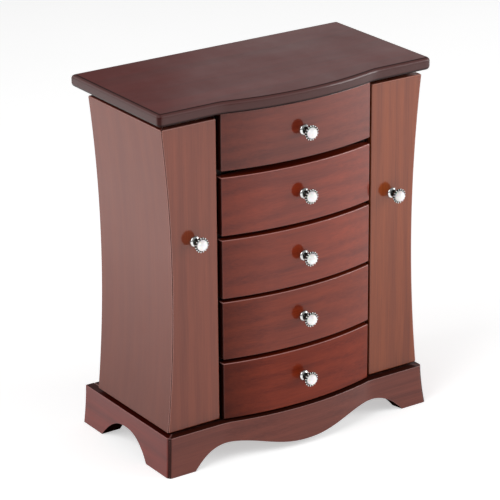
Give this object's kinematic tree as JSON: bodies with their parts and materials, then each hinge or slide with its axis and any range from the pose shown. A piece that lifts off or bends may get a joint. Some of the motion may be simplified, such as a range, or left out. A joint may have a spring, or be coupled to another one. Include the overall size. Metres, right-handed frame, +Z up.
{
  "type": "jewellery chest",
  "caption": "Wooden jewellery chest with a hinged mirror lid over a lined tray, bow-fronted drawers with pearl knobs, and swing-out side doors that cover necklace hooks.",
  "frame": {"origin": "centre of the bounding box's base, on the surface that the chest stands on", "axes": "+Z up, -Y out of the front (drawers and knobs), +X to the right as seen from the front"},
  "size_m": [0.334, 0.1932, 0.39],
  "materials": {
    "cherry_wood": "reddish-brown stained cherry veneer under satin lacquer",
    "inner_wood": "dark stained carcass and drawer sides, matt lacquer",
    "tray_felt": "short cream flocked felt",
    "ring_velvet": "cream velvet over soft rolls",
    "silver_metal": "bright silver plating with dark recesses",
    "pearl": "pearlescent white, high gloss",
    "brass": "polished brass plate, slightly worn",
    "mirror_glass": "silvered flat mirror"
  },
  "bodies": {
    "case": {"base_front": "cherry_wood", "base_left": "cherry_wood", "base_right": "cherry_wood", "base_back": "cherry_wood", "case_back": "cherry_wood", "case_top_frame": "cherry_wood", "top_false_front": "cherry_wood", "base_board": "inner_wood", "case_left_wall": "inner_wood", "case_right_wall": "inner_wood", "shelf_1": "inner_wood", "shelf_2": "inner_wood", "shelf_3": "inner_wood", "shelf_4": "inner_wood", "top_tray": "tray_felt", "tray_divider": "tray_felt", "ring_pad": "ring_velvet", "necklace_hooks_left": "brass", "necklace_hooks_right": "brass", "lid_hinge_left_case_leaf": "brass", "lid_hinge_left_pin": "brass", "lid_hinge_right_case_leaf": "brass", "lid_hinge_right_pin": "brass", "left_door_top_pin": "brass", "left_door_bottom_pin": "brass", "left_door_washer": "brass", "right_door_top_pin": "brass", "right_door_bottom_pin": "brass", "right_door_washer": "brass", "knob_top_front": "silver_metal", "pearl_top_front": "pearl"},
    "lid": {"lid_panel": "cherry_wood", "mirror_frame": "cherry_wood", "mirror": "mirror_glass", "lid_hinge_left_lid_leaf": "brass", "lid_hinge_right_lid_leaf": "brass"},
    "left_door": {"left_door_front": "cherry_wood", "left_door_side": "cherry_wood", "knob_left_door": "silver_metal", "pearl_left_door": "pearl"},
    "right_door": {"right_door_front": "cherry_wood", "right_door_side": "cherry_wood", "knob_right_door": "silver_metal", "pearl_right_door": "pearl"},
    "drawer_1": {"drawer_1_front": "cherry_wood", "drawer_1_box": "inner_wood", "knob_drawer_1": "silver_metal", "pearl_drawer_1": "pearl"},
    "drawer_2": {"drawer_2_front": "cherry_wood", "drawer_2_box": "inner_wood", "knob_drawer_2": "silver_metal", "pearl_drawer_2": "pearl"},
    "drawer_3": {"drawer_3_front": "cherry_wood", "drawer_3_box": "inner_wood", "knob_drawer_3": "silver_metal", "pearl_drawer_3": "pearl"},
    "drawer_4": {"drawer_4_front": "cherry_wood", "drawer_4_box": "inner_wood", "knob_drawer_4": "silver_metal", "pearl_drawer_4": "pearl"}
  },
  "joints": [
    {"name": "lid_hinge", "type": "hinge", "parent": "case", "child": "lid", "pos_m": [0, 0.0905, 0.3746], "axis": [-1, 0, 0], "range_deg": [0, 95]},
    {"name": "left_door_hinge", "type": "hinge", "parent": "case", "child": "left_door", "pos_m": [-0.147, 0.0686, 0.205], "axis": [0, 0, -1], "range_deg": [0, 100]},
    {"name": "right_door_hinge", "type": "hinge", "parent": "case", "child": "right_door", "pos_m": [0.147, 0.0686, 0.205], "axis": [0, 0, 1], "range_deg": [0, 100]},
    {"name": "drawer_1_slide", "type": "slide", "parent": "case", "child": "drawer_1", "axis": [0, -1, 0], "range_m": [0, 0.1]},
    {"name": "drawer_2_slide", "type": "slide", "parent": "case", "child": "drawer_2", "axis": [0, -1, 0], "range_m": [0, 0.1]},
    {"name": "drawer_3_slide", "type": "slide", "parent": "case", "child": "drawer_3", "axis": [0, -1, 0], "range_m": [0, 0.1]},
    {"name": "drawer_4_slide", "type": "slide", "parent": "case", "child": "drawer_4", "axis": [0, -1, 0], "range_m": [0, 0.1]}
  ]
}
